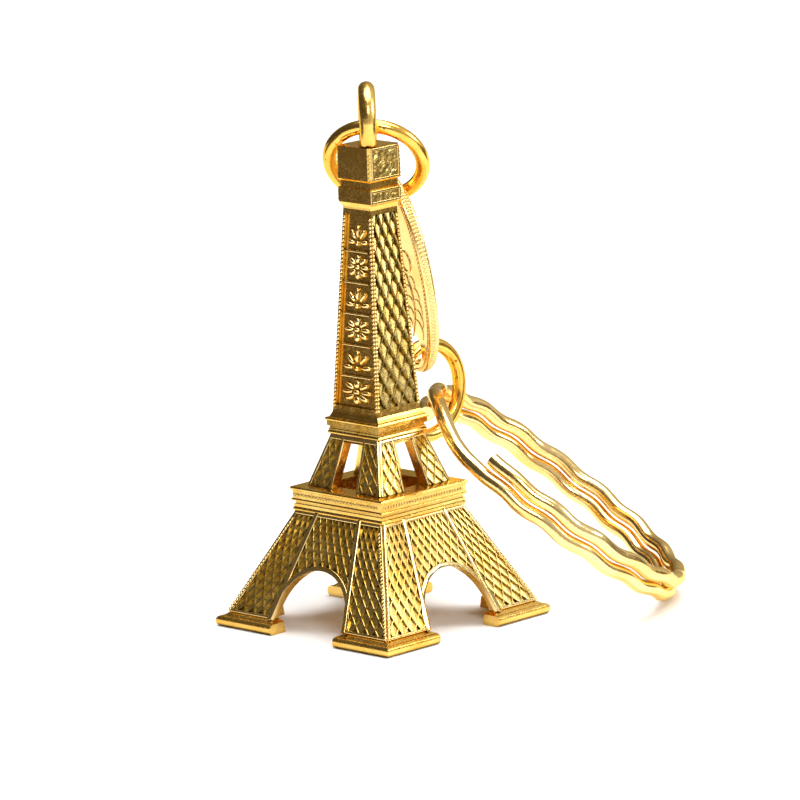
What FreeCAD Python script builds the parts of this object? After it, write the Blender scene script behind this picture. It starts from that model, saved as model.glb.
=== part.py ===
import FreeCAD, Part
import math
import os

# Lattice tower key ring: a hollow cast tower, two jump rings, an oval plate and a wavy split ring.
# Millimetres. Z up, the tower axis is X = Y = 0 and the undersides of its four feet are at Z = 0.
# The lifting loop stands in the vertical plane through two opposite corners, so the chain parts are
# placed along RIGHT (through the loop hole), AWAY (behind the tower) and Z.

V = FreeCAD.Vector
RIGHT = V(1, 1, 0).normalize()
AWAY = V(-1, 1, 0).normalize()
UP = V(0, 0, 1)

# tower casting: half widths of the square outline, each with its height
foot = {"half": 11.05, "roll": 0.5, "edge": 0.42, "top": 1.30, "inner_end": 4.0}
leg = {"half_low": 10.10, "half_high": 5.44, "top": 10.69}
deck = {"roll": 5.72, "roll_low": 10.75, "roll_top": 11.15, "step": 5.62, "step_top": 11.42, "groove": 5.50,
        "lip": 5.80, "lip_low": 11.70, "lip_top": 11.95, "band": 5.70,
        "edge": 5.88, "edge_low": 12.70, "top": 13.10}
mid = {"half_low": 4.60, "half_high": 2.96, "low": 13.10, "top": 17.91}
collar = {"roll": 3.28, "roll_low": 17.95, "roll_top": 18.30, "step": 3.20, "step_top": 18.45, "groove": 3.10,
          "band": 3.30, "band_low": 18.72, "lip": 3.43, "lip_low": 19.17, "top": 19.55}
shaft = {"half_low": 2.85, "low": 20.25, "half_high": 1.75, "top": 39.13}
neck = {"half": 2.02, "low": 39.75, "top": 41.05, "waist": 1.86, "waist_top": 41.75}
cap = {"half_low": 2.15, "half_high": 2.10, "low": 41.95, "top": 45.0, "corner": 0.28}
wall = 0.9
arch = {"half": 4.65, "spring": 1.3, "crown": 6.1}
window = {"half_low": 1.55, "half_high": 1.20, "low": 13.10, "top": 17.30}
panel = {"depth": 0.28, "border": 0.34, "low": 20.7, "top": 38.7}
loop = {"height": 47.36, "major": 2.65, "wire": 1.58}

# jump rings: round wire bent to a circle, the ends left a hair apart
jump = {"middle_r": 4.35, "wire": 1.30, "cut": 0.12}

# oval plate with a raised rim and a hole at each end
plate = {"width": 11.0, "thick": 0.70, "rim_thick": 1.10, "rim_w": 0.75, "hole": 3.60, "hole_edge": 0.85}

# split ring: two turns of wavy wire
ring = {"middle_r": 14.3, "wide": 1.50, "wire": 1.40, "pitch": 1.56, "waves": 18, "wave": 0.13, "fade": 22.0}
ring_turns = {"start": 55.0, "ramp_from": 368.0, "ramp_to": 409.0, "end": 728.0, "hoops": 24}

# where the chain hangs at rest
upper_centre = (0.75, 2.23, 42.96)
upper_normal = (-0.165, -0.831, -0.531)
upper_grip_deg = 281.0
lower_centre = (5.00, 7.25, 20.20)
lower_normal = (0.709, -0.706, 0.0)
lower_grip_deg = 107.0
plate_turn_deg = 67.0
ring_high = (5.15, 5.75, 19.32)
ring_slope_deg = 38.6
ring_yaw_deg = 0.0
grip_gap = 0.62


def at(right, away, up):
    """A point or direction given along RIGHT, AWAY and Z."""
    return RIGHT * right + AWAY * away + UP * up


def square(half, z, corner=0.0):
    """Closed square wire centred on the tower axis, its corners cut off when asked."""
    c = corner
    if c == 0.0:
        pts = [(half, -half), (half, half), (-half, half), (-half, -half)]
    else:
        pts = [(half - c, -half), (half, -half + c), (half, half - c), (half - c, half)]
        pts += [(-half + c, half), (-half, half - c), (-half, -half + c), (-half + c, -half)]
    pts = [V(x, y, z) for x, y in pts]
    return Part.makePolygon(pts + [pts[0]])


def block(half_low, low, half_high, top, corner=0.0):
    """Square block that tapers from one half width to another."""
    return Part.makeLoft([square(half_low, low, corner), square(half_high, top, corner)], True, True)


def stack(levels):
    """Square blocks one on another, from a list of (half width, height)."""
    solid = None
    for (h0, z0), (h1, z1) in zip(levels, levels[1:]):
        if z1 - z0 < 1e-6:
            continue
        piece = block(h0, z0, h1, z1)
        solid = piece if solid is None else solid.fuse(piece)
    return solid.removeSplitter()


def rounded(half, low, top, steps=4):
    """Levels of a half round moulding."""
    r = (top - low) / 2
    levels = []
    for i in range(steps + 1):
        a = math.pi * (i / steps - 0.5)
        levels.append((half - r + r * math.cos(a), low + r + r * math.sin(a)))
    return levels


def cove(half_low, low, half_high, top, bow, steps=4):
    """Levels of a hollow curve between two square outlines."""
    levels = []
    for i in range(steps + 1):
        t = i / steps
        sag = bow * math.sin(math.pi * t)
        levels.append((half_low + (half_high - half_low) * t - sag, low + (top - low) * t))
    return levels


def leg_half(z):
    """Outer half width of the legs at a height."""
    t = (z - foot["top"]) / (leg["top"] - foot["top"])
    return leg["half_low"] + (leg["half_high"] - leg["half_low"]) * t


def outer_body():
    """The whole outside of the casting below the loop, still solid."""
    r = foot["roll"]
    f = foot["half"]
    slab = Part.makeBox(2 * f, 2 * f, 2 * r, V(-f, -f, 0))
    level_edges = [e for e in slab.Edges if e.BoundBox.ZLength < 0.01]
    feet = slab.makeFillet(foot["edge"], level_edges)
    feet = feet.fuse(block(f - foot["edge"] - 0.1, 2 * r, leg["half_low"], foot["top"]))
    legs = block(leg["half_low"], foot["top"], leg["half_high"], leg["top"])
    d = deck
    deck_levels = [(leg["half_high"], leg["top"]), (d["step"], d["roll_low"])]
    deck_levels += rounded(d["roll"], d["roll_low"], d["roll_top"])
    deck_levels += [(d["step"], d["roll_top"]), (d["step"], d["step_top"]), (d["groove"], d["step_top"]),
                    (d["groove"], d["lip_low"])]
    deck_levels += rounded(d["lip"], d["lip_low"], d["lip_top"])
    deck_levels += [(d["band"], d["lip_top"]), (d["band"], d["edge_low"])]
    deck_levels += rounded(d["edge"], d["edge_low"], d["top"])
    mids = block(mid["half_low"], mid["low"], mid["half_high"], mid["top"])
    c = collar
    collar_levels = [(mid["half_high"], mid["top"]), (c["step"], c["roll_low"])]
    collar_levels += rounded(c["roll"], c["roll_low"], c["roll_top"])
    collar_levels += [(c["step"], c["roll_top"]), (c["step"], c["step_top"]), (c["groove"], c["step_top"]),
                      (c["groove"], c["band_low"]), (c["band"], c["band_low"]), (c["band"], c["lip_low"])]
    collar_levels += rounded(c["lip"], c["lip_low"], c["top"])
    flare = cove(collar["lip"] - 0.3, collar["top"], shaft["half_low"], shaft["low"], 0.06, 3)
    column = block(shaft["half_low"], shaft["low"], shaft["half_high"], shaft["top"])
    head_levels = cove(shaft["half_high"], shaft["top"], neck["half"], neck["low"], 0.05, 3)
    head_levels += [(neck["half"], neck["top"]), (neck["waist"], neck["top"] + 0.15),
                    (neck["waist"], neck["waist_top"]), (cap["half_low"], cap["low"])]
    body = feet.fuse([legs, stack(deck_levels), mids, stack(collar_levels), stack(flare), column,
                      stack(head_levels)])
    top = block(cap["half_low"], cap["low"], cap["half_high"], cap["top"], cap["corner"])
    return body.fuse(top)


def hollow():
    """The space inside the legs and the middle, open at the bottom."""
    ceiling = deck["step_top"] - 2.0
    low = leg_half(foot["top"]) - wall
    under = stack([(low - 0.4, -1.0), (low, foot["top"]), (leg_half(ceiling) - wall, ceiling)])
    low = mid["half_low"] - wall
    through = stack([(low - 0.1, ceiling - 0.2), (low, deck["top"]),
                     (mid["half_high"] - wall + 0.1, window["top"])])
    return under.fuse(through)


def arch_prism():
    """Rounded opening between two feet, as a long prism along Y."""
    reach = 2 * foot["half"] + 2
    start = V(-arch["half"], -reach / 2, arch["spring"])
    pts = [start]
    rise = arch["crown"] - arch["spring"]
    for i in range(1, 12):
        a = math.pi - math.pi * i / 12
        pts.append(V(arch["half"] * math.cos(a), -reach / 2, arch["spring"] + rise * math.sin(a)))
    pts.append(V(arch["half"], -reach / 2, arch["spring"]))
    curve = Part.BSplineCurve()
    curve.interpolate(pts)
    e = foot["inner_end"]
    sides = Part.makePolygon([pts[-1], V(e, -reach / 2, 1.0), V(e, -reach / 2, -1), V(-e, -reach / 2, -1),
                              V(-e, -reach / 2, 1.0), pts[0]])
    face = Part.Face(Part.Wire([curve.toShape()] + sides.Edges))
    return face.extrude(V(0, reach, 0))


def window_prism():
    """Tall opening between the legs of the middle part, as a long prism along Y."""
    reach = 2 * mid["half_low"] + 1
    lo = window["half_low"]
    hi = window["half_high"]
    pts = [(-lo, window["low"]), (lo, window["low"]), (hi, window["top"]), (-hi, window["top"])]
    pts = [V(x, -reach / 2, z) for x, z in pts]
    return Part.Face(Part.makePolygon(pts + [pts[0]])).extrude(V(0, reach, 0))


def shaft_half(z):
    """Outer half width of the shaft at a height."""
    t = (z - shaft["low"]) / (shaft["top"] - shaft["low"])
    return shaft["half_low"] + (shaft["half_high"] - shaft["half_low"]) * t


def panel_cut():
    """Shallow recess in one face of the shaft, inside its two border ribs."""
    lo = shaft_half(panel["low"])
    hi = shaft_half(panel["top"])
    wires = []
    for half, z in ((lo, panel["low"]), (hi, panel["top"])):
        x = half - panel["border"]
        y0 = -half - 1.0
        y1 = -half + panel["depth"]
        pts = [V(-x, y0, z), V(x, y0, z), V(x, y1, z), V(-x, y1, z)]
        wires.append(Part.makePolygon(pts + [pts[0]]))
    return Part.makeLoft(wires, True, True)


def tower_casting():
    """Hollow tower cast in one with its loop."""
    body = outer_body().cut(hollow())
    tools = []
    for turn in (0, 90):
        for tool in (arch_prism(), window_prism()):
            tools.append(tool.rotate(V(0, 0, 0), UP, turn))
    for turn in (0, 90, 180, 270):
        tools.append(panel_cut().rotate(V(0, 0, 0), UP, turn))
    body = body.cut(tools)
    eye = Part.makeTorus(loop["major"], loop["wire"] / 2, V(0, 0, loop["height"]), RIGHT)
    return body.fuse(eye).removeSplitter()


def in_plane(normal):
    """Two directions across a ring's plane: level, then upward."""
    level = UP.cross(normal).normalize()
    return level, normal.cross(level).normalize()


def ring_point(centre, normal, radius, degrees):
    """Point on a ring, measured from its level direction."""
    level, rise = in_plane(normal)
    a = math.radians(degrees)
    return centre + level * (radius * math.cos(a)) + rise * (radius * math.sin(a))


def jump_ring(centre, normal, cut_deg):
    """Round wire ring with its two ends a hair apart."""
    torus = Part.makeTorus(jump["middle_r"], jump["wire"] / 2, centre, normal)
    level, rise = in_plane(normal)
    a = math.radians(cut_deg)
    out = level * math.cos(a) + rise * math.sin(a)
    side = normal.cross(out)
    w = jump["wire"]
    slit = Part.makeBox(2 * w, 2 * w, jump["cut"], V(-w, -w, -jump["cut"] / 2))
    turn = FreeCAD.Rotation(out, normal, side, "ZXY")
    slit.Placement = FreeCAD.Placement(centre + out * jump["middle_r"], turn)
    return torus.cut(slit)


def ellipse(half_long, half_wide, z):
    """Flat elliptical face, its long way along X."""
    curve = Part.Ellipse(V(0, 0, z), half_long, half_wide)
    return Part.Face(Part.Wire(curve.toShape()))


def oval_plate(grip_high, grip_low):
    """Oval plate hanging between two grip points, its length along the line joining them."""
    along = (grip_low - grip_high).normalize()
    a = math.radians(plate_turn_deg)
    wide = RIGHT * math.cos(a) - AWAY * math.sin(a)
    face = along.cross(wide).normalize()
    wide = face.cross(along).normalize()
    grips = grip_low.distanceToPoint(grip_high)
    slack = plate["hole"] / 2 - jump["wire"] / 2 - grip_gap
    holes = grips - 2 * slack
    half = holes / 2 + plate["hole"] / 2 + plate["hole_edge"]
    wide_half = plate["width"] / 2
    t = plate["thick"]
    rt = plate["rim_thick"]
    body = ellipse(half - 0.1, wide_half - 0.1, -t / 2).extrude(V(0, 0, t))
    outer = ellipse(half, wide_half, -rt / 2).extrude(V(0, 0, rt))
    w = plate["rim_w"]
    inner = ellipse(half - w, wide_half - w, -rt).extrude(V(0, 0, 2 * rt))
    rim = outer.cut(inner)
    rim = rim.makeFillet(0.25, [e for e in rim.Edges if e.BoundBox.XLength > 2 * half - 0.1])
    solid = body.fuse(rim)
    for side in (-1, 1):
        boss = Part.makeCylinder(plate["hole"] / 2 + 0.55, t, V(side * holes / 2, 0, -t / 2), V(0, 0, 1))
        solid = solid.fuse(boss)
    for side in (-1, 1):
        solid = solid.cut(Part.makeCylinder(plate["hole"] / 2, 4, V(side * holes / 2, 0, -2), V(0, 0, 1)))
    solid = solid.removeSplitter()
    turn = FreeCAD.Rotation(along, wide, face, "ZXY")
    solid.Placement = FreeCAD.Placement((grip_high + grip_low) * 0.5, turn)
    return solid


def ring_axes():
    """Centre, up-slope, side and normal directions of the split ring."""
    s = math.radians(ring_slope_deg)
    y = math.radians(ring_yaw_deg)
    down = at(math.cos(s) * math.cos(y), math.cos(s) * math.sin(y), -math.sin(s))
    side = at(math.sin(y), -math.cos(y), 0)
    normal = (down * -1).cross(side) * -1
    if normal.z < 0:
        normal = normal * -1
    centre = at(*ring_high) + down * ring["middle_r"]
    return centre, down * -1, side, normal


def ring_level(degrees):
    """Height of the wire above the ring's middle plane: one turn above, one below, a ramp between."""
    half = ring["pitch"] / 2
    if degrees <= ring_turns["ramp_from"]:
        return half
    if degrees >= ring_turns["ramp_to"]:
        return -half
    t = (degrees - ring_turns["ramp_from"]) / (ring_turns["ramp_to"] - ring_turns["ramp_from"])
    return half * math.cos(math.pi * t)


def wave_share(degrees):
    """Share of the full wave: none along the crossing and at the wire's ends, more away from them."""
    beside_ramp = max(ring_turns["ramp_from"] - degrees, degrees - ring_turns["ramp_to"])
    nearest = min(degrees - ring_turns["start"], ring_turns["end"] - degrees, beside_ramp)
    return min(1.0, max(0.0, nearest / ring["fade"]))


def split_key_ring():
    """Two turns of wavy wire, sprung together, with one crossing."""
    centre, out, side, normal = ring_axes()
    pts = []
    steps = int((ring_turns["end"] - ring_turns["start"]) / (360.0 / ring["waves"] / 6))
    for i in range(steps + 1):
        d = ring_turns["start"] + (ring_turns["end"] - ring_turns["start"]) * i / steps
        a = math.radians(d)
        lift = ring_level(d) + ring["wave"] * wave_share(d) * math.sin(ring["waves"] * a)
        pts.append(centre + (out * math.cos(a) + side * math.sin(a)) * ring["middle_r"] + normal * lift)
    hoops = []
    for i, p in enumerate(pts):
        ahead = (pts[min(i + 1, steps)] - pts[max(i - 1, 0)]).normalize()
        across = ahead.cross(normal).normalize()
        hoop = Part.Wire(Part.Ellipse(V(0, 0, 0), ring["wide"] / 2, ring["wire"] / 2).toShape())
        hoop.Placement = FreeCAD.Placement(p, FreeCAD.Rotation(across, ahead.cross(across), ahead, "ZXY"))
        hoops.append(hoop)
    lengths = []
    for i in range(0, steps, ring_turns["hoops"]):
        lengths.append(Part.makeLoft(hoops[i:i + ring_turns["hoops"] + 1], True, False))
    return lengths[0].fuse(lengths[1:])


upper_c = at(*upper_centre)
upper_n = at(*upper_normal).normalize()
lower_c = at(*lower_centre)
lower_n = at(*lower_normal).normalize()
grip_high = ring_point(upper_c, upper_n, jump["middle_r"], upper_grip_deg)
grip_low = ring_point(lower_c, lower_n, jump["middle_r"], lower_grip_deg)

nodes = {
    "tower_casting": tower_casting(),
    "upper_jump_ring": jump_ring(upper_c, upper_n, 215.0),
    "oval_plate": oval_plate(grip_high, grip_low),
    "lower_jump_ring": jump_ring(lower_c, lower_n, 200.0),
    "split_key_ring": split_key_ring(),
}

os.makedirs("parts", exist_ok=True)
for name, shape in nodes.items():
    shape.exportStep("parts/" + name + ".step")
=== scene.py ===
import math

import bmesh
import bpy
from mathutils import Matrix, Vector


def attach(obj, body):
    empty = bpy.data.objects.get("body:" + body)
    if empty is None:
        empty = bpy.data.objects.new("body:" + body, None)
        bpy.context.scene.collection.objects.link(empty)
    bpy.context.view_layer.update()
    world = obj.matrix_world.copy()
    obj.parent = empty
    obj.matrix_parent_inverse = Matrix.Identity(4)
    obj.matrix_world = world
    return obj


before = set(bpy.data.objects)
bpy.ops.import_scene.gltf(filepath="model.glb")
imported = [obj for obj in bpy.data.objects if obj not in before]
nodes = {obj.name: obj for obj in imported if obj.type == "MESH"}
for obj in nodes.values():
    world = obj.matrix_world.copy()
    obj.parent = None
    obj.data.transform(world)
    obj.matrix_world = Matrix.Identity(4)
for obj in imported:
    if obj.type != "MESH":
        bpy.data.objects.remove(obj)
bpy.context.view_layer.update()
mm = 0.001
print("frame loaded")


# modelling helpers; places are given in millimetres

def clearSelection():
    if bpy.context.mode != "OBJECT":
        bpy.ops.object.mode_set(mode="OBJECT")
    bpy.ops.object.select_all(action="DESELECT")


def makeActive(piece):
    clearSelection()
    piece.select_set(True)
    bpy.context.view_layer.objects.active = piece


def editPiece(piece, mode="FACE"):
    makeActive(piece)
    bpy.ops.object.mode_set(mode="EDIT")
    bpy.ops.mesh.select_mode(type=mode)
    bpy.ops.mesh.select_all(action="DESELECT")


def pickVerts(piece, test):
    mesh = bmesh.from_edit_mesh(piece.data)
    for vert in mesh.verts:
        vert.select_set(bool(test(vert.co / mm)))
    mesh.select_flush_mode()
    bmesh.update_edit_mesh(piece.data)


def pickEdges(piece, test):
    mesh = bmesh.from_edit_mesh(piece.data)
    for edge in mesh.edges:
        edge.select_set(bool(test(edge.verts[0].co / mm, edge.verts[1].co / mm)))
    mesh.select_flush_mode()
    bmesh.update_edit_mesh(piece.data)


def applyModifier(piece, kind, **settings):
    makeActive(piece)
    modifier = piece.modifiers.new(kind.title(), kind)
    for key, value in settings.items():
        setattr(modifier, key, value)
    bpy.ops.object.modifier_apply(modifier=modifier.name)


def settle(piece):
    makeActive(piece)
    bpy.ops.object.transform_apply(location=True, rotation=True, scale=True)


def copyPiece(piece, name):
    twin = piece.copy()
    twin.data = piece.data.copy()
    twin.name = name
    bpy.context.scene.collection.objects.link(twin)
    return twin


def turnPiece(piece, degrees):
    piece.rotation_euler = (0, 0, math.radians(degrees))
    settle(piece)


def mirrorPiece(piece):
    piece.scale = (-1, 1, 1)
    settle(piece)
    editPiece(piece)
    bpy.ops.mesh.select_all(action="SELECT")
    bpy.ops.mesh.normals_make_consistent(inside=False)
    clearSelection()


def joinPieces(pieces, name):
    clearSelection()
    for piece in pieces:
        piece.select_set(True)
    bpy.context.view_layer.objects.active = pieces[0]
    bpy.ops.object.join()
    pieces[0].name = name
    return pieces[0]


def finishPiece(piece, body, material, smooth=None):
    settle(piece)
    piece.data.materials.clear()
    piece.data.materials.append(material)
    if smooth is not None:
        makeActive(piece)
        bpy.ops.object.shade_smooth_by_angle(angle=math.radians(smooth))
    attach(piece, body)
    return piece


# a shader socket that can be added, multiplied and subtracted

class Wire:
    def __init__(self, shop, socket):
        self.shop = shop
        self.socket = socket

    def calc(self, operation, other):
        return self.shop.node("ShaderNodeMath", {"operation": operation}, {0: self, 1: other})[0]

    def __add__(self, other):
        return self.calc("ADD", other)

    def __radd__(self, other):
        return self.calc("ADD", other)

    def __mul__(self, other):
        return self.calc("MULTIPLY", other)

    def __rmul__(self, other):
        return self.calc("MULTIPLY", other)

    def __sub__(self, other):
        return self.calc("SUBTRACT", other)

    def __rsub__(self, other):
        return self.shop.node("ShaderNodeMath", {"operation": "SUBTRACT"}, {0: other, 1: self})[0]


class Shop:
    def __init__(self, name):
        self.material = bpy.data.materials.new(name)
        self.material.use_nodes = True
        self.tree = self.material.node_tree
        self.tree.nodes.clear()

    def node(self, kind, settings=None, inputs=None):
        made = self.tree.nodes.new(kind)
        for key, value in (settings or {}).items():
            if key == "stops":
                ramp = made.color_ramp.elements
                while len(ramp) < len(value):
                    ramp.new(0.5)
                for stop, (place, colour) in zip(ramp, value):
                    stop.position = place
                    stop.color = colour
            else:
                setattr(made, key, value)
        for key, value in (inputs or {}).items():
            if isinstance(value, Wire):
                self.tree.links.new(value.socket, made.inputs[key])
            else:
                made.inputs[key].default_value = value
        return [Wire(self, s) for s in made.outputs]

    def place(self):
        return self.node("ShaderNodeTexCoord")[3]

    def noise(self, scale, detail=3.0, roughness=0.55):
        return self.node("ShaderNodeTexNoise", None,
                         {"Vector": self.place(), "Scale": scale, "Detail": detail, "Roughness": roughness})[0]

    def ramp(self, value, low, high):
        return self.node("ShaderNodeMapRange", {"interpolation_type": "SMOOTHSTEP"},
                         {"Value": value, "From Min": low, "From Max": high})[0]

    def mixColour(self, factor, a, b):
        return self.node("ShaderNodeMix", {"data_type": "RGBA"}, {0: factor, 6: a, 7: b})[2]


def rgb(colour):
    return (colour[0], colour[1], colour[2], 1.0)


finishSteps = {"cloud": (0.35, 0.7), "cloudDetail": 3.0, "grain": (0.3, 0.75), "grainDetail": 4.0,
               "grainRoughness": 0.6, "spotDetail": 2.0, "spotEdge": 0.05, "recessSamples": 8}


def goldFinish(name, look):
    steps = finishSteps
    shop = Shop(name)
    tint = shop.noise(look["cloudScale"], steps["cloudDetail"])
    grain = shop.noise(look["grainScale"], steps["grainDetail"], steps["grainRoughness"])
    colour = shop.mixColour(shop.ramp(tint, *steps["cloud"]), rgb(look["bright"]), rgb(look["warm"]))
    # painted shade, partly patina: ambient occlusion pulls the colour towards the dark colour in hollows and pockets
    if look["recess"] > 0:
        closed = shop.node("ShaderNodeAmbientOcclusion", {"samples": steps["recessSamples"]},
                           {"Distance": look["recessReach"]})[1]
        hollowShadeAndPatina = (1 - shop.ramp(closed, look["recessLow"], look["recessHigh"])) * look["recess"]
        colour = shop.mixColour(hollowShadeAndPatina, colour, rgb(look["dark"]))
    spotNoise = shop.noise(look["spotScale"], steps["spotDetail"])
    spots = shop.ramp(spotNoise, look["spotFrom"], look["spotFrom"] + steps["spotEdge"])
    colour = shop.mixColour(spots * look["spots"], colour, rgb(look["dark"]))
    rough = shop.ramp(grain, *steps["grain"]) * look["roughSpread"] + look["rough"]
    bump = shop.node("ShaderNodeBump", None,
                     {"Height": grain, "Strength": look["bump"], "Distance": look["bumpDepth"]})[0]
    shader = shop.node("ShaderNodeBsdfPrincipled", None,
                       {"Base Color": colour, "Roughness": rough, "Metallic": 1.0, "Normal": bump,
                        "Specular Tint": rgb(look["edge"])})[0]
    shop.node("ShaderNodeOutputMaterial", None, {"Surface": shader})
    return shop.material


# lengths in a look are metres; recess paints shade, partly patina, into the hollows; spots are small wear marks
towerLook = {"bright": (0.92, 0.61, 0.17), "warm": (0.82, 0.46, 0.08), "dark": (0.12, 0.07, 0.014),
             "edge": (1.0, 0.84, 0.46), "cloudScale": 260, "grainScale": 2600, "spotScale": 900, "spotFrom": 0.74,
             "spots": 0.35, "recess": 0.8, "recessReach": 0.0007, "recessLow": 0.25, "recessHigh": 0.85,
             "rough": 0.17, "roughSpread": 0.14, "bump": 0.10, "bumpDepth": 0.00004}
# darker copies of the tower gold for lattices, pitted panels and corner beads: painted shade, with deeper painted
# shade in the pockets
latticeShadeLook = dict(towerLook, bright=(0.75, 0.56, 0.20), warm=(0.68, 0.47, 0.12), dark=(0.06, 0.038, 0.010),
                   cloudScale=420, recess=0.88, recessReach=0.0004, recessLow=0.30, recessHigh=0.90, spots=0.15,
                   rough=0.24)
shaftLatticeShadeLook = dict(latticeShadeLook, recess=0.95, recessReach=0.0007, recessLow=0.40, recessHigh=0.92, rough=0.20)
# a brighter copy of the tower gold for ribs, rims, beads, ornaments and frames: painted highlight on the raised parts
ribHighlightLook = dict(towerLook, bright=(1.0, 0.77, 0.36), warm=(0.95, 0.64, 0.20), recess=0.4, spots=0.12, rough=0.12,
               roughSpread=0.10)
ringLook = dict(towerLook, bright=(0.95, 0.59, 0.13), warm=(0.88, 0.44, 0.06), dark=(0.14, 0.05, 0.01),
                edge=(1.0, 0.82, 0.42), cloudScale=300, grainScale=1600, spotScale=1500, spotFrom=0.665,
                spots=0.85, recess=0.0, rough=0.14, roughSpread=0.10, bump=0.12)
keyRingLook = dict(ringLook, bright=(0.98, 0.73, 0.33), warm=(0.95, 0.61, 0.20), dark=(0.18, 0.09, 0.02),
                   edge=(1.0, 0.86, 0.52), cloudScale=220, grainScale=1500, spotScale=800, spotFrom=0.78,
                   spots=0.5, rough=0.12, bump=0.10)
plateLook = dict(towerLook, bright=(0.96, 0.70, 0.30), warm=(0.92, 0.59, 0.19), dark=(0.18, 0.10, 0.02),
                 edge=(1.0, 0.88, 0.60), cloudScale=240, grainScale=2200, spotFrom=0.76, spots=0.3,
                 recess=0.7, recessReach=0.0004, recessLow=0.3, rough=0.20, roughSpread=0.10, bump=0.12)
towerGold = goldFinish("towerGold", towerLook)
latticeGold = goldFinish("latticeGold", latticeShadeLook)
shaftLatticeGold = goldFinish("shaftLatticeGold", shaftLatticeShadeLook)
ribGold = goldFinish("ribGold", ribHighlightLook)
ringGold = goldFinish("ringGold", ringLook)
plateGold = goldFinish("plateGold", plateLook)
keyRingGold = goldFinish("keyRingGold", keyRingLook)
finishes = {"tower_casting": towerGold, "upper_jump_ring": ringGold, "oval_plate": plateGold,
            "lower_jump_ring": ringGold, "split_key_ring": keyRingGold}
for nodeName, finish in finishes.items():
    node = nodes[nodeName]
    node.data.materials.clear()
    node.data.materials.append(finish)
print("finishes ready")


# relief of the casting: panels are modelled flat, X across and Y up the slope, then laid on a face

towerShape = {"legLow": 10.10, "legHigh": 5.44, "legFoot": 1.30, "legTop": 10.69,
              "midLow": 4.60, "midHigh": 2.96, "midFoot": 13.10, "midTop": 17.91,
              "shaftLow": 2.85, "shaftHigh": 1.75, "shaftFoot": 20.25, "shaftTop": 39.13}


def faceSlope(halfLow, low, halfHigh, top):
    length = math.hypot(top - low, halfLow - halfHigh)
    lean = math.atan2(halfLow - halfHigh, top - low)
    return {"half": halfLow, "low": low, "length": length, "lean": lean}


def layOnFace(piece, slope, along, proud=0.0):
    lean = slope["lean"]
    y = -slope["half"] + along * math.sin(lean) - proud * math.cos(lean)
    z = slope["low"] + along * math.cos(lean) + proud * math.sin(lean)
    piece.rotation_euler = (math.pi / 2 - lean, 0, 0)
    piece.location = (0, y * mm, z * mm)
    settle(piece)


cageDeep = 2
trimSlack = 0.00001  # bisect threshold


def bowToShape(piece, size, corners):
    clearSelection()
    bpy.ops.object.add(type="LATTICE", location=(size[0] / 2 * mm, size[1] / 2 * mm, 0))
    cage = bpy.context.active_object
    cage.scale = (size[0] * mm, size[1] * mm, cageDeep * mm)
    cage.data.interpolation_type_u = "KEY_LINEAR"
    cage.data.interpolation_type_v = "KEY_LINEAR"
    cage.data.interpolation_type_w = "KEY_LINEAR"
    for index, point in enumerate(cage.data.points):
        goal = corners[index % 4]
        point.co_deform.x = (goal[0] - size[0] / 2) / size[0]
        point.co_deform.y = (goal[1] - size[1] / 2) / size[1]
    bpy.context.view_layer.update()
    applyModifier(piece, "LATTICE", object=cage)
    bpy.data.objects.remove(cage, do_unlink=True)


def trimPiece(piece, point, normal, filled=False):
    editPiece(piece)
    bpy.ops.mesh.select_all(action="SELECT")
    bpy.ops.mesh.bisect(plane_co=[c * mm for c in point], plane_no=normal, clear_outer=True, use_fill=filled,
                        threshold=trimSlack * mm)
    clearSelection()


def closeBack(piece, depth):
    editPiece(piece, "EDGE")
    bpy.ops.mesh.select_non_manifold()
    bpy.ops.mesh.extrude_edges_move(TRANSFORM_OT_translate={"value": (0, 0, -depth * mm)})
    bpy.ops.transform.resize(value=(1, 1, 0), center_override=(0, 0, -depth * mm))
    bpy.ops.mesh.edge_face_add()
    bpy.ops.mesh.select_all(action="SELECT")
    bpy.ops.mesh.normals_make_consistent(inside=False)
    clearSelection()


diamond = {"bottomDeep": 0.12, "near": 0.01, "weld": 0.001}


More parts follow.
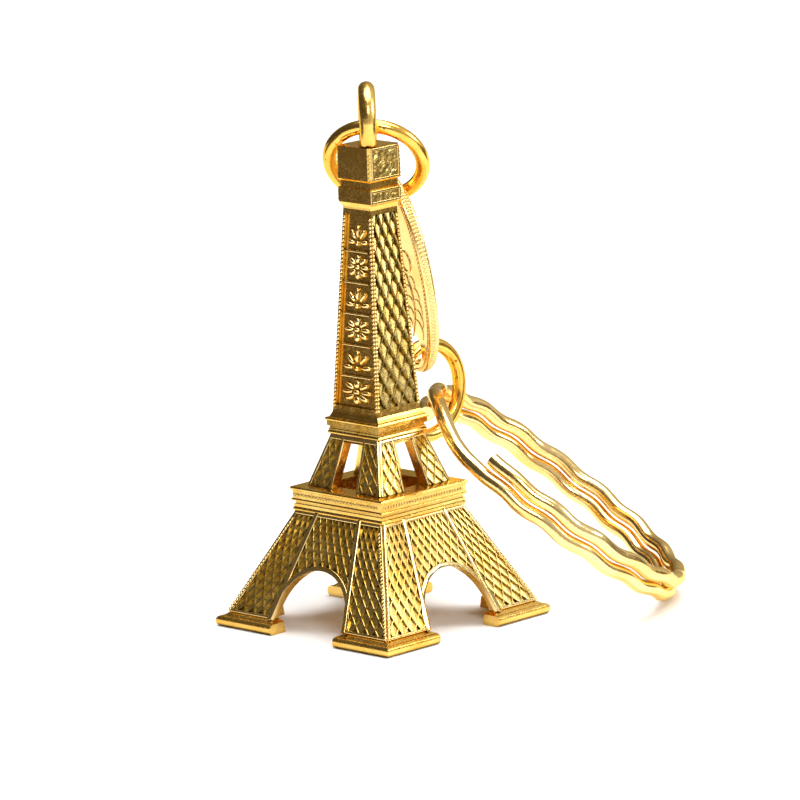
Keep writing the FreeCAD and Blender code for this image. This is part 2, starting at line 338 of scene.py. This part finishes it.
def diamondSheet(name, look, columns, rows):
    near = diamond["near"]
    weld = diamond["weld"]
    wide, high = look["size"]
    cellWide = wide / columns
    cellHigh = high / rows
    clearSelection()
    bpy.ops.mesh.primitive_circle_add(vertices=4, radius=0.5 * mm, fill_type="NGON", location=(0, 0, 0))
    cell = bpy.context.active_object
    cell.name = name
    editPiece(cell, "VERT")
    bpy.ops.mesh.select_all(action="SELECT")
    bpy.ops.transform.resize(value=(cellWide, cellHigh, 1), center_override=(0, 0, 0))
    bpy.ops.mesh.select_mode(type="FACE")
    bpy.ops.mesh.select_all(action="SELECT")
    bpy.ops.mesh.inset(thickness=look["ridge"] * mm, depth=0)
    bpy.ops.mesh.inset(thickness=look["step"] * mm, depth=0)
    a = cellWide / 2
    b = cellHigh / 2
    share = 1 - (look["ridge"] + look["step"]) * math.hypot(a, b) / (a * b)
    bpy.ops.mesh.select_mode(type="VERT")
    # the pocket is deep under the upper point and rises to the lower one, with a crease between them
    pocketPoints = (((0, b * share), 1.0), ((0, -b * share), diamond["bottomDeep"]),
                    ((a * share, 0), look["sideDeep"]), ((-a * share, 0), look["sideDeep"]))
    for place, deep in pocketPoints:
        pickVerts(cell, lambda v: math.hypot(v.x - place[0], v.y - place[1]) < near)
        bpy.ops.transform.translate(value=(0, 0, -look["pocket"] * deep * mm))
    pickVerts(cell, lambda v: abs(v.x) < near and abs(abs(v.y) - b * share) < near)
    bpy.ops.mesh.vert_connect()
    clearSelection()
    twin = copyPiece(cell, name + "Twin")
    twin.location = (cellWide / 2 * mm, cellHigh / 2 * mm, 0)
    settle(twin)
    cell = joinPieces([cell, twin], name)
    for count, step in ((columns + 1, (cellWide * mm, 0, 0)), (rows + 1, (0, cellHigh * mm, 0))):
        applyModifier(cell, "ARRAY", count=count, use_relative_offset=False, use_constant_offset=True,
                      constant_offset_displace=step, use_merge_vertices=True, merge_threshold=weld * mm)
    editPiece(cell)
    bpy.ops.mesh.select_all(action="SELECT")
    bpy.ops.mesh.remove_doubles(threshold=weld * mm)
    clearSelection()
    trimPiece(cell, (weld, 0, 0), (-1, 0, 0))
    trimPiece(cell, (wide - weld, 0, 0), (1, 0, 0))
    trimPiece(cell, (0, weld, 0), (0, -1, 0))
    trimPiece(cell, (0, high - weld, 0), (0, 1, 0))
    closeBack(cell, look["pocket"] + look["back"])
    return cell


barShape = {"foot": 0.08, "near": 0.01, "bevelShare": 0.38, "bevelSegments": 3}


def rib(name, start, end, wide, high, foot=barShape["foot"]):
    near = barShape["near"]
    run = Vector((end[0] - start[0], end[1] - start[1], 0))
    clearSelection()
    bpy.ops.mesh.primitive_cube_add(size=1 * mm, location=(0, 0, 0))
    bar = bpy.context.active_object
    bar.name = name
    bar.scale = (wide, run.length, high + foot)
    bar.location = (0, run.length / 2 * mm, (high - foot) / 2 * mm)
    settle(bar)
    editPiece(bar, "EDGE")
    pickEdges(bar, lambda a, b: min(a.z, b.z) > high - near and abs(a.x - b.x) < near)
    bpy.ops.mesh.bevel(offset=min(wide, high) * barShape["bevelShare"] * mm, segments=barShape["bevelSegments"],
                       profile=0.5)
    clearSelection()
    bar.rotation_euler = (0, 0, math.atan2(run.y, run.x) - math.pi / 2)
    bar.location = (start[0] * mm, start[1] * mm, 0)
    settle(bar)
    return bar


def aroundTower(piece, mirrored):
    pieces = [piece]
    if mirrored:
        twin = copyPiece(piece, piece.name + "Left")
        mirrorPiece(twin)
        pieces.append(twin)
    side = joinPieces(pieces, piece.name)
    copies = [side]
    for turn in (90, 180, 270):
        twin = copyPiece(side, "%s%d" % (side.name, turn))
        turnPiece(twin, turn)
        copies.append(twin)
    return joinPieces(copies, piece.name)


t = towerShape
legFace = faceSlope(t["legLow"], t["legFoot"], t["legHigh"], t["legTop"])
midFace = faceSlope(t["midLow"], t["midFoot"], t["midHigh"], t["midTop"])
shaftFace = faceSlope(t["shaftLow"], t["shaftFoot"], t["shaftHigh"], t["shaftTop"])


def alongFace(slope, halfLow, halfHigh, v):
    return halfLow + (halfHigh - halfLow) * v / slope["length"]


legPanel = {"size": (4.56, legFace["length"]), "ridge": 0.05, "step": 0.035, "pocket": 0.22,
            "sideDeep": 0.7, "back": 0.06, "innerLow": 4.85, "innerHigh": 2.85, "outer": 0.22, "proud": 0.21}


def makeLegPanels():
    look = legPanel
    sheet = diamondSheet("legLattice", look, 4, 6)
    outLow = t["legLow"] - look["outer"]
    outHigh = t["legHigh"] - look["outer"]
    corners = [(look["innerLow"], 0), (outLow, 0), (look["innerHigh"], look["size"][1]), (outHigh, look["size"][1])]
    bowToShape(sheet, look["size"], corners)
    layOnFace(sheet, legFace, 0, look["proud"])
    return finishPiece(aroundTower(sheet, True), "tower_casting", latticeGold)


spandrel = {"size": (7.98, legFace["length"]), "ridge": 0.05, "step": 0.035, "pocket": 0.22,
            "sideDeep": 0.7, "back": 0.06, "halfLow": 4.60, "halfHigh": 2.60, "proud": 0.21, "archHalf": 4.80,
            "archCrown": 6.30}


def archTool(name, half, crown, deep):
    clearSelection()
    bpy.ops.mesh.primitive_cylinder_add(vertices=64, radius=1 * mm, depth=1 * mm, location=(0, 0, 0))
    tool = bpy.context.active_object
    tool.name = name
    tool.rotation_euler = (math.pi / 2, 0, 0)
    tool.scale = (half, crown - t["legFoot"], deep)
    tool.location = (0, -t["legLow"] * mm, t["legFoot"] * mm)
    settle(tool)
    return tool


def makeSpandrels():
    look = spandrel
    sheet = diamondSheet("spandrelLattice", look, 7, 6)
    corners = [(-look["halfLow"], 0), (look["halfLow"], 0), (-look["halfHigh"], look["size"][1]),
               (look["halfHigh"], look["size"][1])]
    bowToShape(sheet, look["size"], corners)
    layOnFace(sheet, legFace, 0, look["proud"])
    tool = archTool("archTool", look["archHalf"], look["archCrown"], 20)
    applyModifier(sheet, "BOOLEAN", operation="DIFFERENCE", object=tool, solver="EXACT")
    bpy.data.objects.remove(tool, do_unlink=True)
    return finishPiece(aroundTower(sheet, False), "tower_casting", latticeGold)


midPanel = {"size": (2.5, midFace["length"]), "ridge": 0.05, "step": 0.035, "pocket": 0.19,
            "sideDeep": 0.7, "back": 0.05, "innerLow": 1.80, "innerHigh": 1.42, "outer": 0.28, "proud": 0.18}


def makeMidPanels():
    look = midPanel
    sheet = diamondSheet("midLattice", look, 2, 3)
    corners = [(look["innerLow"], 0), (t["midLow"] - look["outer"], 0), (look["innerHigh"], look["size"][1]),
               (t["midHigh"] - look["outer"], look["size"][1])]
    bowToShape(sheet, look["size"], corners)
    layOnFace(sheet, midFace, 0, look["proud"])
    return finishPiece(aroundTower(sheet, True), "tower_casting", latticeGold)


shaftPanel = {"size": (3.9, 18.0), "ridge": 0.055, "step": 0.04, "pocket": 0.40, "sideDeep": 0.5, "back": 0.03,
              "border": 0.36, "proud": 0.09, "foot": 0.45}


def makeShaftPanels():
    look = shaftPanel
    sheet = diamondSheet("shaftLattice", look, 3, 8)
    low = alongFace(shaftFace, t["shaftLow"], t["shaftHigh"], look["foot"]) - look["border"]
    high = alongFace(shaftFace, t["shaftLow"], t["shaftHigh"], look["foot"] + look["size"][1]) - look["border"]
    corners = [(-low, 0), (low, 0), (-high, look["size"][1]), (high, look["size"][1])]
    bowToShape(sheet, look["size"], corners)
    layOnFace(sheet, shaftFace, look["foot"], look["proud"])
    sides = []
    for turn in (90, 180, 270):
        twin = copyPiece(sheet, "shaftLattice%d" % turn)
        turnPiece(twin, turn)
        sides.append(twin)
    bpy.data.objects.remove(sheet, do_unlink=True)
    return finishPiece(joinPieces(sides, "shaftLattice"), "tower_casting", shaftLatticeGold)


legRibs = {"outerWide": 0.34, "innerWide": 0.50, "innerLow": 4.72, "innerHigh": 2.72, "crossWide": 0.30,
           "innerTall": 0.34, "outerTall": 0.23, "crossTall": 0.26, "crossIn": 0.15, "crossEnd": 0.05}


def makeLegRibs():
    look = legRibs
    length = legFace["length"]
    outer = look["outerWide"] / 2
    bars = [rib("legRib", (look["innerLow"], 0), (look["innerHigh"], length), look["innerWide"], look["innerTall"]),
            rib("outerRib", (t["legLow"] - outer, 0), (t["legHigh"] - outer, length), look["outerWide"],
                look["outerTall"])]
    topLevel = length - look["crossIn"]
    for name, start, half, level in (("topRib", 0, t["legHigh"], topLevel),
                                     ("footRib", look["innerLow"], t["legLow"], look["crossIn"])):
        bars.append(rib(name, (start, level), (half - look["crossEnd"], level), look["crossWide"], look["crossTall"]))
    ribs = joinPieces(bars, "legRibs")
    layOnFace(ribs, legFace, 0)
    return finishPiece(aroundTower(ribs, True), "tower_casting", ribGold, 40)


midRibs = {"wide": 0.28, "innerTall": 0.22, "outerTall": 0.18, "topWide": 0.42, "topTall": 0.20, "topIn": 0.25,
           "topEnd": 0.05, "innerLow": 1.70, "innerHigh": 1.34}


def makeMidRibs():
    look = midRibs
    length = midFace["length"]
    outer = look["wide"] / 2
    level = length - look["topIn"]
    bars = [rib("innerRib", (look["innerLow"], 0), (look["innerHigh"], length), look["wide"], look["innerTall"]),
            rib("outerRib", (t["midLow"] - outer, 0), (t["midHigh"] - outer, length), look["wide"],
                look["outerTall"]),
            rib("topRib", (0, level), (t["midHigh"] - look["topEnd"], level), look["topWide"], look["topTall"])]
    ribs = joinPieces(bars, "midRibs")
    layOnFace(ribs, midFace, 0)
    return finishPiece(aroundTower(ribs, True), "tower_casting", ribGold, 40)


archRim = {"inside": 4.66, "crown": 6.12, "wide": 0.40, "high": 0.30, "sunk": 0.1, "bevel": 0.09,
           "bevelAngle": 50, "deep": 20}


def makeArchRims():
    look = archRim
    wide = look["wide"]
    tool = archTool("archInside", look["inside"], look["crown"], look["deep"])
    rim = archTool("archRim", look["inside"] + wide, look["crown"] + wide, look["deep"])
    applyModifier(rim, "BOOLEAN", operation="DIFFERENCE", object=tool, solver="EXACT")
    bpy.data.objects.remove(tool, do_unlink=True)
    lean = legFace["lean"]
    outward = (0, -math.cos(lean), math.sin(lean))
    inward = (0, math.cos(lean), -math.sin(lean))
    top = (0, -t["legLow"] - look["high"] * math.cos(lean), t["legFoot"] + look["high"] * math.sin(lean))
    bottom = (0, -t["legLow"] + look["sunk"], t["legFoot"])
    for point, way in ((top, outward), (bottom, inward), ((0, 0, t["legFoot"]), (0, 0, -1))):
        trimPiece(rim, point, way, True)
    applyModifier(rim, "BEVEL", width=look["bevel"] * mm, segments=2, limit_method="ANGLE",
                  angle_limit=math.radians(look["bevelAngle"]))
    return finishPiece(aroundTower(rim, False), "tower_casting", ribGold, 40)


edgeBeads = {"size": 0.15, "high": 0.14, "step": 0.37, "inset": 0.17, "legProud": 0.19, "tilt": (0.3, 0.4, 0),
             "stretch": (1.15, 1.1), "sunk": 0.03, "shaftEnds": (0.35, 0.1), "legEnds": (0.2, 0.3)}


def beadRow(name, start, end, look):
    run = Vector((end[0] - start[0], end[1] - start[1], 0))
    count = int(run.length / look["step"])
    clearSelection()
    bpy.ops.mesh.primitive_ico_sphere_add(subdivisions=1, radius=look["size"] * mm, location=(0, 0, 0))
    row = bpy.context.active_object
    row.name = name
    row.rotation_euler = look["tilt"]
    settle(row)
    row.scale = (*look["stretch"], look["high"] / look["size"])
    settle(row)
    trimPiece(row, (0, 0, -look["sunk"]), (0, 0, -1))
    applyModifier(row, "ARRAY", count=count, use_relative_offset=False, use_constant_offset=True,
                  constant_offset_displace=(0, look["step"] * mm, 0))
    closeHoles(row)
    row.rotation_euler = (0, 0, math.atan2(run.y, run.x) - math.pi / 2)
    row.location = (start[0] * mm, start[1] * mm, 0)
    settle(row)
    return row


def closeHoles(piece):
    editPiece(piece, "EDGE")
    bpy.ops.mesh.select_non_manifold()
    bpy.ops.mesh.fill_holes(sides=0)
    bpy.ops.mesh.select_all(action="SELECT")
    bpy.ops.mesh.normals_make_consistent(inside=False)
    clearSelection()


def makeEdgeBeads():
    look = edgeBeads
    rows = []
    for name, low, high, slope, ends, proud in (
            ("shaftBeads", t["shaftLow"], t["shaftHigh"], shaftFace, look["shaftEnds"], 0),
            ("legBeads", t["legLow"], t["legHigh"], legFace, look["legEnds"], look["legProud"])):
        start = (low - look["inset"], ends[0])
        end = (high - look["inset"], slope["length"] - ends[1])
        row = beadRow(name, start, end, look)
        layOnFace(row, slope, 0, proud)
        rows.append(row)
    beads = joinPieces(rows, "edgeBeads")
    return finishPiece(aroundTower(beads, True), "tower_casting", ribGold, 50)


def wireLine(name, points, radius):
    curve = bpy.data.curves.new(name, "CURVE")
    curve.dimensions = "3D"
    curve.bevel_depth = radius * mm
    curve.bevel_resolution = 2
    curve.use_fill_caps = True
    line = curve.splines.new("POLY")
    line.points.add(len(points) - 1)
    for point, place in zip(line.points, points):
        point.co = (place[0] * mm, place[1] * mm, place[2] * mm, 1)
    piece = bpy.data.objects.new(name, curve)
    bpy.context.scene.collection.objects.link(piece)
    makeActive(piece)
    bpy.ops.object.convert(target="MESH")
    return bpy.context.active_object


# flowers and fans of solid petals on the plain face of the shaft, between thin bars
ornament = {"count": 6, "first": 1.85, "step": 2.92, "wideLow": 1.90, "wideHigh": 1.26, "tall": 1.16, "floor": -0.22,
            "petalWide": 0.20, "petalHigh": 0.27, "boss": 0.22, "bossHigh": 1.15,
            "barWide": 0.20, "barHigh": 0.24, "barFoot": 0.1}
flower = {"petalLong": 0.36, "petalAt": 0.64, "turns": range(0, 360, 45), "lift": 0, "wide": 1.0}
fan = {"petalLong": 0.52, "petalAt": 0.98, "turns": (-84, -42, 0, 42, 84), "lift": -0.62, "wide": 0.68}


def petalSpray(name, look, spray):
    clearSelection()
    bpy.ops.mesh.primitive_ico_sphere_add(subdivisions=2, radius=1 * mm, location=(0, 0, 0))
    petal = bpy.context.active_object
    petal.name = name + "Petal"
    petal.scale = (look["petalWide"], spray["petalLong"], look["petalHigh"])
    petal.location = (0, spray["petalAt"] * mm, 0)
    settle(petal)
    pieces = []
    for turn in spray["turns"]:
        twin = copyPiece(petal, name)
        turnPiece(twin, turn)
        pieces.append(twin)
    bpy.data.objects.remove(petal, do_unlink=True)
    bpy.ops.mesh.primitive_ico_sphere_add(subdivisions=2, radius=1 * mm, location=(0, 0, 0))
    middle = bpy.context.active_object
    middle.scale = (look["boss"], look["boss"], look["petalHigh"] * look["bossHigh"])
    settle(middle)
    whole = joinPieces(pieces + [middle], name)
    whole.location = (0, spray["lift"] * mm, 0)
    settle(whole)
    return whole


def makeOrnaments():
    look = ornament
    models = [(petalSpray("flower", look, flower), flower), (petalSpray("fan", look, fan), fan)]
    pieces = []
    for index in range(look["count"]):
        level = look["first"] + look["step"] * index
        share = index / (look["count"] - 1)
        wide = look["wideLow"] + (look["wideHigh"] - look["wideLow"]) * share
        model, spray = models[index % 2]
        piece = copyPiece(model, "ornament%d" % index)
        piece.scale = (wide * spray["wide"], look["tall"], 1)
        piece.location = (0, level * mm, 0)
        settle(piece)
        pieces.append(piece)
        if index < look["count"] - 1:
            middle = level + look["step"] / 2
            pieces.append(rib("bar%d" % index, (-wide, middle), (wide, middle), look["barWide"], look["barHigh"],
                              look["barFoot"]))
    for model, spray in models:
        bpy.data.objects.remove(model, do_unlink=True)
    whole = joinPieces(pieces, "shaftOrnaments")
    layOnFace(whole, shaftFace, 0, look["floor"])
    return finishPiece(whole, "tower_casting", ribGold, 60)


# frames and pitted panels on two faces of the cap and of the neck
capTrim = {"wide": 0.22, "high": 0.10, "lowEnd": 0.12, "topEnd": 0.14}
capBlock = {"half": 2.15, "halfHigh": 2.10, "low": 41.95, "top": 45.0, "frameIn": 0.42, "panelIn": 0.51, "cut": 0.28}
neckBlock = {"half": 2.02, "halfHigh": 2.02, "low": 39.75, "top": 41.05, "frameIn": 0.12, "panelIn": 0.22}
pitted = {"grain": 0.42, "strength": 0.22, "proud": 0.03, "back": 0.16, "cell": 0.10,
          "lowEnd": 0.21, "bothEnds": 0.42}


def onTwoFaces(piece):
    turnPiece(piece, 90)
    twin = copyPiece(piece, piece.name + "Back")
    turnPiece(twin, 180)
    return [piece, twin]


def makeCapTrim():
    look = capTrim
    sides = []
    for shape in (capBlock, neckBlock):
        slope = faceSlope(shape["half"], shape["low"], shape["halfHigh"], shape["top"])
        edge = shape["half"] - shape["frameIn"]
        start = look["lowEnd"]
        end = slope["length"] - look["topEnd"]
        bars = []
        for a, b in (((-edge, start), (-edge, end)), ((edge, start), (edge, end)),
                     ((-edge, start), (edge, start)), ((-edge, end), (edge, end))):
            bars.append(rib("capBar", a, b, look["wide"], look["high"]))
        frameBars = joinPieces(bars, "capFrame")
        layOnFace(frameBars, slope, 0)
        sides += onTwoFaces(frameBars)
    return finishPiece(joinPieces(sides, "capFrames"), "tower_casting", ribGold, 40)


def pittedSheet(name, half, high, look):
    clearSelection()
    bpy.ops.mesh.primitive_grid_add(x_subdivisions=int(2 * half / look["cell"]),
                                    y_subdivisions=int(high / look["cell"]), size=1 * mm, location=(0, 0, 0))
    sheet = bpy.context.active_object
    sheet.name = name
    sheet.scale = (2 * half, high, 1)
    sheet.location = (0, high / 2 * mm, 0)
    settle(sheet)
    grain = bpy.data.textures.new(name + "Grain", "CLOUDS")
    grain.noise_scale = look["grain"] * mm
    applyModifier(sheet, "DISPLACE", texture=grain, texture_coords="LOCAL", strength=look["strength"] * mm,
                  mid_level=0.5)
    closeBack(sheet, look["back"])
    return sheet


def makePittedPanels():
    look = pitted
    panels = []
    for shape in (capBlock, neckBlock):
        slope = faceSlope(shape["half"], shape["low"], shape["halfHigh"], shape["top"])
        sheet = pittedSheet("pittedPanel", shape["half"] - shape["panelIn"], slope["length"] - look["bothEnds"], look)
        layOnFace(sheet, slope, look["lowEnd"], look["proud"])
        panels += onTwoFaces(sheet)
    return finishPiece(joinPieces(panels, "pittedPanels"), "tower_casting", shaftLatticeGold, 60)


capBeads = dict(edgeBeads, size=0.16, high=0.13, step=0.40, ends=(0.3, 0.1), lean=0.06)
deckBeads = dict(edgeBeads, size=0.15, high=0.12, step=0.36, ends=(0.3, 0.1), half=5.70, level=12.32)


def makeCornerBeads():
    cap = capBlock
    ends = capBeads["ends"]
    corner = (2 * cap["half"] - cap["cut"]) / math.sqrt(2)
    slope = faceSlope(corner, cap["low"], corner - capBeads["lean"], cap["top"])
    row = beadRow("capBeads", (0, ends[0]), (0, slope["length"] - ends[1]), capBeads)
    layOnFace(row, slope, 0)
    turnPiece(row, 45)
    half = deckBeads["half"]
    ends = deckBeads["ends"]
    deck = faceSlope(half, deckBeads["level"], half, deckBeads["level"] + 1)
    line = beadRow("deckBeads", (-half + ends[0], 0), (half - ends[1], 0), deckBeads)
    layOnFace(line, deck, 0)
    beads = joinPieces([row, line], "cornerBeads")
    return finishPiece(aroundTower(beads, False), "tower_casting", latticeGold, 50)


# the plate's own directions: X down its length, Y across, Z out of the face that carries the ornament
plateShape = {"centre": (-1.603, 5.922, 31.851), "along": (0.00188, 0.19235, -0.98132),
              "across": (0.92962, -0.36198, -0.06917), "out": (-0.36852, -0.91213, -0.17949),
              "halfLong": 9.75, "halfWide": 5.5, "face": 0.35, "rimTop": 0.55}


def layOnPlate(piece):
    p = plateShape
    turn = Matrix((p["along"], p["across"], p["out"])).transposed().to_4x4()
    piece.matrix_world = Matrix.Translation(Vector(p["centre"]) * mm) @ turn
    settle(piece)


# a wavy stem with five pairs of curled leaves and one open ring
plateScroll = {"stem": 0.11, "vein": 0.075, "leaves": 5, "firstBase": 2, "baseStep": 3,
               "stemSteps": 16, "stemStart": (6.1, 0.5), "stemLong": 6.4, "stemSway": 1.5, "stemTurn": 2.6,
               "leafSteps": 12, "leafReach": 1.75, "leafShrink": 0.16, "leafTurn": 1.25, "leafLong": 0.62,
               "leafDrift": 0.1, "leafWide": 0.55, "ringCentre": (-1.6, 1.7), "ringRadius": 1.0, "ringSteps": 24}


def leafPoints(look, base, side, reach, z):
    points = []
    for i in range(look["leafSteps"] + 1):
        share = i / look["leafSteps"]
        a = share * math.pi * look["leafTurn"]
        x = base[0] - reach * look["leafLong"] * math.sin(a) - look["leafDrift"] * share
        y = base[1] + side * reach * look["leafWide"] * (1 - math.cos(a))
        points.append((x, y, z))
    return points


def makePlateScroll():
    look = plateScroll
    z = plateShape["face"]
    stem = []
    for k in range(look["stemSteps"] + 1):
        share = k / look["stemSteps"]
        x = look["stemStart"][0] - look["stemLong"] * share
        y = look["stemStart"][1] + look["stemSway"] * math.sin(share * look["stemTurn"])
        stem.append((x, y, z))
    lines = [wireLine("scrollStem", stem, look["stem"])]
    for k in range(look["leaves"]):
        base = stem[look["firstBase"] + k * look["baseStep"]]
        reach = look["leafReach"] - look["leafShrink"] * k
        for side in (-1, 1):
            lines.append(wireLine("scrollLeaf", leafPoints(look, base, side, reach, z), look["vein"]))
    ring = []
    for k in range(look["ringSteps"] + 1):
        a = k / look["ringSteps"] * math.tau
        ring.append((look["ringCentre"][0] + look["ringRadius"] * math.cos(a),
                     look["ringCentre"][1] + look["ringRadius"] * math.sin(a), z))
    lines.append(wireLine("scrollRing", ring, look["stem"]))
    scroll = joinPieces(lines, "plateScroll")
    layOnPlate(scroll)
    return finishPiece(scroll, "oval_plate", plateGold, 60)


# one row of beads on each face of the rim and a row of upright ones round its edge
rimBeads = {"count": 150, "size": 0.17, "flatInset": 0.30, "flatSunk": 0.03, "flat": (1.0, 1.5, 0.7),
            "edgeInset": 0.02, "edge": (0.60, 1.05, 2.5)}


def makeRimBeads():
    look = rimBeads
    p = plateShape
    level = p["rimTop"] - look["flatSunk"]
    beads = []
    for height, inset, scale in ((level, look["flatInset"], look["flat"]), (-level, look["flatInset"], look["flat"]),
                                 (0, look["edgeInset"], look["edge"])):
        clearSelection()
        bpy.ops.mesh.primitive_ico_sphere_add(subdivisions=1, radius=look["size"] * mm, location=(0, 0, 0))
        bead = bpy.context.active_object
        bead.scale = scale
        settle(bead)
        for index in range(look["count"]):
            a = index / look["count"] * math.tau
            x = (p["halfLong"] - inset) * math.cos(a)
            y = (p["halfWide"] - inset) * math.sin(a)
            twin = copyPiece(bead, "rimBead%d" % index)
            twin.location = (x * mm, y * mm, height * mm)
            twin.rotation_euler = (0, 0, math.atan2(p["halfLong"] * math.sin(a), p["halfWide"] * math.cos(a)))
            beads.append(twin)
        bpy.data.objects.remove(bead, do_unlink=True)
    clearSelection()
    for twin in beads:
        twin.select_set(True)
    bpy.context.view_layer.objects.active = beads[0]
    bpy.ops.object.transform_apply(location=True, rotation=True, scale=True)
    rim = joinPieces(beads, "plateRimBeads")
    layOnPlate(rim)
    return finishPiece(rim, "oval_plate", plateGold, 60)


reliefs = [makeLegPanels(), makeSpandrels(), makeMidPanels(), makeShaftPanels(), makeLegRibs(), makeMidRibs(),
           makeArchRims(), makeEdgeBeads(), makeOrnaments(), makeCapTrim(), makePittedPanels(), makeCornerBeads(),
           makePlateScroll(), makeRimBeads()]
print("relief ready", [(piece.name, len(piece.data.polygons)) for piece in reliefs])


# pale floor, soft lights and the camera; places and sizes here are in metres

floorLook = {"size": 3.0, "colour": (0.93, 0.925, 0.92), "darker": 0.985, "cloudScale": 9.0, "rough": 0.6}
sky = {"turn": (0.64, 0.67, 0.37), "strength": 1.0,
       "stops": [(0.0, (0.065, 0.058, 0.048)), (0.42, (0.12, 0.11, 0.095)), (0.62, (0.35, 0.34, 0.33)),
                 (1.0, (0.80, 0.80, 0.80))]}
lights = {
    "topLight": {"place": (0.02, 0.12, 0.95), "size": 0.85, "power": 12.0},
    "frontLight": {"place": (0.40, -0.28, 0.42), "size": 0.18, "power": 1.3},
    "rightLight": {"place": (0.42, 0.34, 0.26), "size": 0.22, "power": 1.5},
}
lightAim = (0, 0, 0.02)
# small dark matt cards beside the frame, seen only in the metal: they paint dark reflections into the side faces
cards = {
    "leftCard": {"place": (-0.056, -0.058, 0.022), "size": (0.075, 0.044), "colour": (0.065, 0.048, 0.03)},
    "rightCard": {"place": (0.066, 0.069, 0.024), "size": (0.085, 0.048), "colour": (0.19, 0.16, 0.115)},
}
cardLook = {"turn": 134.0, "darker": 0.8, "cloudScale": 30.0, "rough": 0.9}
cameraPlace = {"location": (0.4379, -0.456094, 0.1512), "turn": (78.3453, 1.7781, 43.2683), "lens": 313.294,
               "sensor": 36.0, "clipStart": 0.01}


def paper(name, colour, look):
    shop = Shop(name)
    cloud = shop.noise(look["cloudScale"], 2.0)
    tone = shop.mixColour(cloud, rgb(colour), rgb([c * look["darker"] for c in colour]))
    shader = shop.node("ShaderNodeBsdfPrincipled", None, {"Base Color": tone, "Roughness": look["rough"]})[0]
    shop.node("ShaderNodeOutputMaterial", None, {"Surface": shader})
    return shop.material


def makeFloor():
    clearSelection()
    bpy.ops.mesh.primitive_plane_add(size=floorLook["size"], location=(0, 0, 0))
    floor = bpy.context.active_object
    floor.name = "floor"
    floor.data.materials.append(paper("floorPaper", floorLook["colour"], floorLook))


def makeSky():
    world = bpy.data.worlds.new("studioSky")
    bpy.context.scene.world = world
    world.use_nodes = True
    tree = world.node_tree
    tree.nodes.clear()
    coords = tree.nodes.new("ShaderNodeTexCoord")
    dot = tree.nodes.new("ShaderNodeVectorMath")
    dot.operation = "DOT_PRODUCT"
    dot.inputs[1].default_value = sky["turn"]
    spread = tree.nodes.new("ShaderNodeMapRange")
    spread.inputs["From Min"].default_value = -1.0
    ramp = tree.nodes.new("ShaderNodeValToRGB")
    elements = ramp.color_ramp.elements
    while len(elements) < len(sky["stops"]):
        elements.new(0.5)
    for stop, (place, colour) in zip(elements, sky["stops"]):
        stop.position = place
        stop.color = rgb(colour)
    back = tree.nodes.new("ShaderNodeBackground")
    back.inputs["Strength"].default_value = sky["strength"]
    out = tree.nodes.new("ShaderNodeOutputWorld")
    tree.links.new(coords.outputs["Generated"], dot.inputs[0])
    tree.links.new(dot.outputs["Value"], spread.inputs[0])
    tree.links.new(spread.outputs[0], ramp.inputs[0])
    tree.links.new(ramp.outputs[0], back.inputs[0])
    tree.links.new(back.outputs[0], out.inputs[0])


def makeCards():
    for name, card in cards.items():
        bpy.ops.mesh.primitive_plane_add(size=1, location=card["place"])
        sheet = bpy.context.active_object
        sheet.name = name
        sheet.scale = (card["size"][0], card["size"][1], 1)
        sheet.rotation_euler = (math.pi / 2, 0, math.radians(cardLook["turn"]))
        settle(sheet)
        # the cards only paint dark reflections: hidden from the camera, from shadows and from diffuse light
        sheet.visible_camera = False
        sheet.visible_shadow = False
        sheet.visible_diffuse = False
        sheet.data.materials.append(paper(name + "Paper", card["colour"], cardLook))


def makeLamps():
    for name, light in lights.items():
        bpy.ops.object.light_add(type="AREA", location=light["place"])
        lamp = bpy.context.active_object
        lamp.name = name
        lamp.data.size = light["size"]
        lamp.data.energy = light["power"]
        aim = Vector(lightAim) - Vector(light["place"])
        lamp.rotation_euler = aim.to_track_quat("-Z", "Y").to_euler()


def makeCamera():
    bpy.ops.object.camera_add(location=cameraPlace["location"])
    camera = bpy.context.active_object
    camera.rotation_euler = [math.radians(a) for a in cameraPlace["turn"]]
    camera.data.lens = cameraPlace["lens"]
    camera.data.sensor_width = cameraPlace["sensor"]
    camera.data.clip_start = cameraPlace["clipStart"]
    bpy.context.scene.camera = camera


makeFloor()
makeSky()
bpy.context.scene.view_settings.view_transform = "Standard"
makeCards()
makeLamps()
makeCamera()
print("studio ready")
